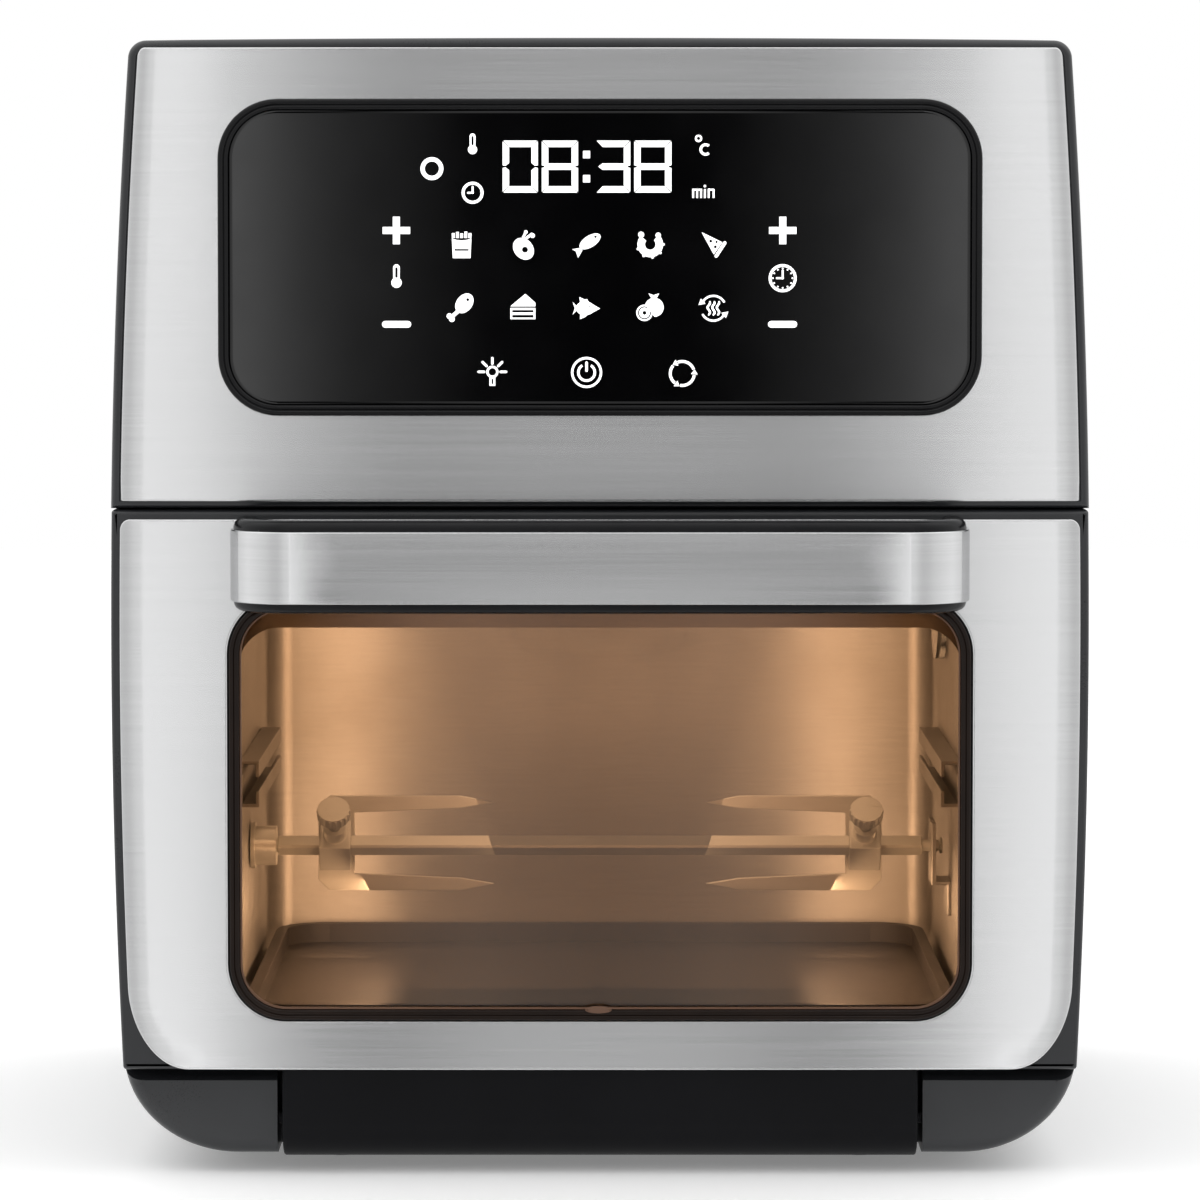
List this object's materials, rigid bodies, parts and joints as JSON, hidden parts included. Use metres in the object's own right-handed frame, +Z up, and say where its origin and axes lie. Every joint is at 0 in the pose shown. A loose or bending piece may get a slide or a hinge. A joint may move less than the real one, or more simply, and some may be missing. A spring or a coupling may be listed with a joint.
{
  "type": "rotisserie oven",
  "caption": "Countertop rotisserie oven with brushed steel front, black touch panel, glazed drop-down door, fan-heated cavity and motor-driven spit.",
  "frame": {"origin": "on the surface it stands on, under the middle of the oven's overall box", "axes": "+Z up, the door faces -Y, +X to the right of a person facing the door"},
  "size_m": [0.3236, 0.33, 0.3767],
  "materials": {
    "housing_black": "fine-textured black housing plastic",
    "frame_black": "satin black moulded frame plastic",
    "face_steel": "horizontally brushed stainless steel",
    "bezel_black": "gloss black bezel",
    "panel_glass": "opaque black touch glass with white lit legends",
    "window_glass": "amber tinted glass",
    "inner_glass": "clear heat-resistant glass",
    "chamber_steel": "satin cavity sheet steel",
    "zinc_steel": "zinc-coated sheet steel",
    "bright_steel": "polished spit steel",
    "heater_metal": "oxidised heating tube",
    "motor_metal": "motor casing",
    "board_green": "circuit board with parts",
    "display_dark": "display module",
    "carrier_grey": "internal moulded plastic",
    "rubber_black": "black rubber",
    "seal_grey": "silicone door seal",
    "tray_enamel": "dark non-stick coating",
    "screw_zinc": "plated screws",
    "bulb_glass": "lamp bulb",
    "lens_glass": "lamp cover glass",
    "plunger_red": "switch plunger"
  },
  "bodies": {
    "oven": {"outer_housing": "housing_black", "base_pan": "housing_black", "rear_cover": "housing_black", "exhaust_grille": "housing_black", "exhaust_duct": "zinc_steel", "cord_gland": "rubber_black", "feet": "rubber_black", "housing_screws": "screw_zinc", "front_frame": "frame_black", "fascia_panel": "face_steel", "control_bezel": "bezel_black", "control_glass": "panel_glass", "touch_board": "board_green", "led_display": "display_dark", "control_carrier": "carrier_grey", "power_board": "board_green", "cavity_liner": "chamber_steel", "rack_rail_left": "chamber_steel", "rack_rail_right": "chamber_steel", "air_outlet_cover": "chamber_steel", "heating_element": "heater_metal", "heater_clips": "chamber_steel", "fan_guard": "bright_steel", "fan_shroud": "zinc_steel", "heat_shield": "zinc_steel", "motor_bracket": "zinc_steel", "fan_motor": "motor_metal", "lamp_holder": "zinc_steel", "lamp_bulb": "bulb_glass", "lamp_glass": "lens_glass", "temperature_probe": "bright_steel", "thermal_cutout": "carrier_grey", "rotisserie_motor": "motor_metal", "rotisserie_mount": "zinc_steel", "spit_support": "chamber_steel", "hinge_pins": "screw_zinc", "hinge_springs": "screw_zinc", "catch_magnets": "zinc_steel", "door_switch": "carrier_grey"},
    "door": {"door_frame": "frame_black", "door_skin": "face_steel", "window_rim": "bezel_black", "outer_glass": "window_glass", "inner_glass": "inner_glass", "door_inner_panel": "chamber_steel", "door_seal": "seal_grey", "handle_grip": "frame_black", "handle_face": "face_steel", "door_screws": "screw_zinc"},
    "drive": {"drive_socket": "bright_steel"},
    "spit": {"spit_rod": "bright_steel"},
    "fork_left_body": {"fork_left": "bright_steel"},
    "fork_right_body": {"fork_right": "bright_steel"},
    "thumb_left_body": {"thumb_screw_left": "bright_steel"},
    "thumb_right_body": {"thumb_screw_right": "bright_steel"},
    "fan": {"fan_impeller": "zinc_steel", "fan_shaft": "bright_steel", "cooling_fan": "zinc_steel"},
    "tray": {"drip_tray": "tray_enamel"},
    "plunger": {"switch_plunger": "plunger_red"}
  },
  "joints": [
    {"name": "door_hinge", "type": "hinge", "parent": "oven", "child": "door", "pos_m": [0, -0.118, 0.018], "axis": [1, 0, 0], "range_deg": [0, 78], "stiffness_Nm_per_rad": 0.25, "springref_deg": -68.75},
    {"name": "spit_spin", "type": "hinge", "parent": "oven", "child": "spit", "pos_m": [0, 0.005, 0.094], "axis": [1, 0, 0], "continuous": true},
    {"name": "drive_spin", "type": "hinge", "parent": "oven", "child": "drive", "pos_m": [-0.12, 0.005, 0.094], "axis": [1, 0, 0], "continuous": true},
    {"name": "fork_left_slide", "type": "slide", "parent": "spit", "child": "fork_left_body", "axis": [1, 0, 0], "range_m": [-0.01, 0.028]},
    {"name": "fork_right_slide", "type": "slide", "parent": "spit", "child": "fork_right_body", "axis": [-1, 0, 0], "range_m": [-0.01, 0.028]},
    {"name": "thumb_left_turn", "type": "hinge", "parent": "fork_left_body", "child": "thumb_left_body", "pos_m": [-0.0945, 0.005, 0.094], "axis": [0, -0.7071, 0.7071], "range_deg": [0, 360]},
    {"name": "thumb_right_turn", "type": "hinge", "parent": "fork_right_body", "child": "thumb_right_body", "pos_m": [0.0945, 0.005, 0.094], "axis": [0, -0.7071, 0.7071], "range_deg": [0, 360]},
    {"name": "fan_spin", "type": "hinge", "parent": "oven", "child": "fan", "pos_m": [0, 0, 0.25], "axis": [0, 0, 1], "continuous": true},
    {"name": "tray_lift", "type": "slide", "parent": "oven", "child": "tray", "axis": [0, 0, 1], "range_m": [0, 0.01]},
    {"name": "plunger_travel", "type": "slide", "parent": "oven", "child": "plunger", "axis": [0, -1, 0], "range_m": [0, 0.002]}
  ],
  "couplings": [
    {"joint": "drive_spin", "follows": "spit_spin", "ratio": 1},
    {"joint": "plunger_travel", "follows": "door_hinge", "m_per_rad": 0.001469}
  ]
}
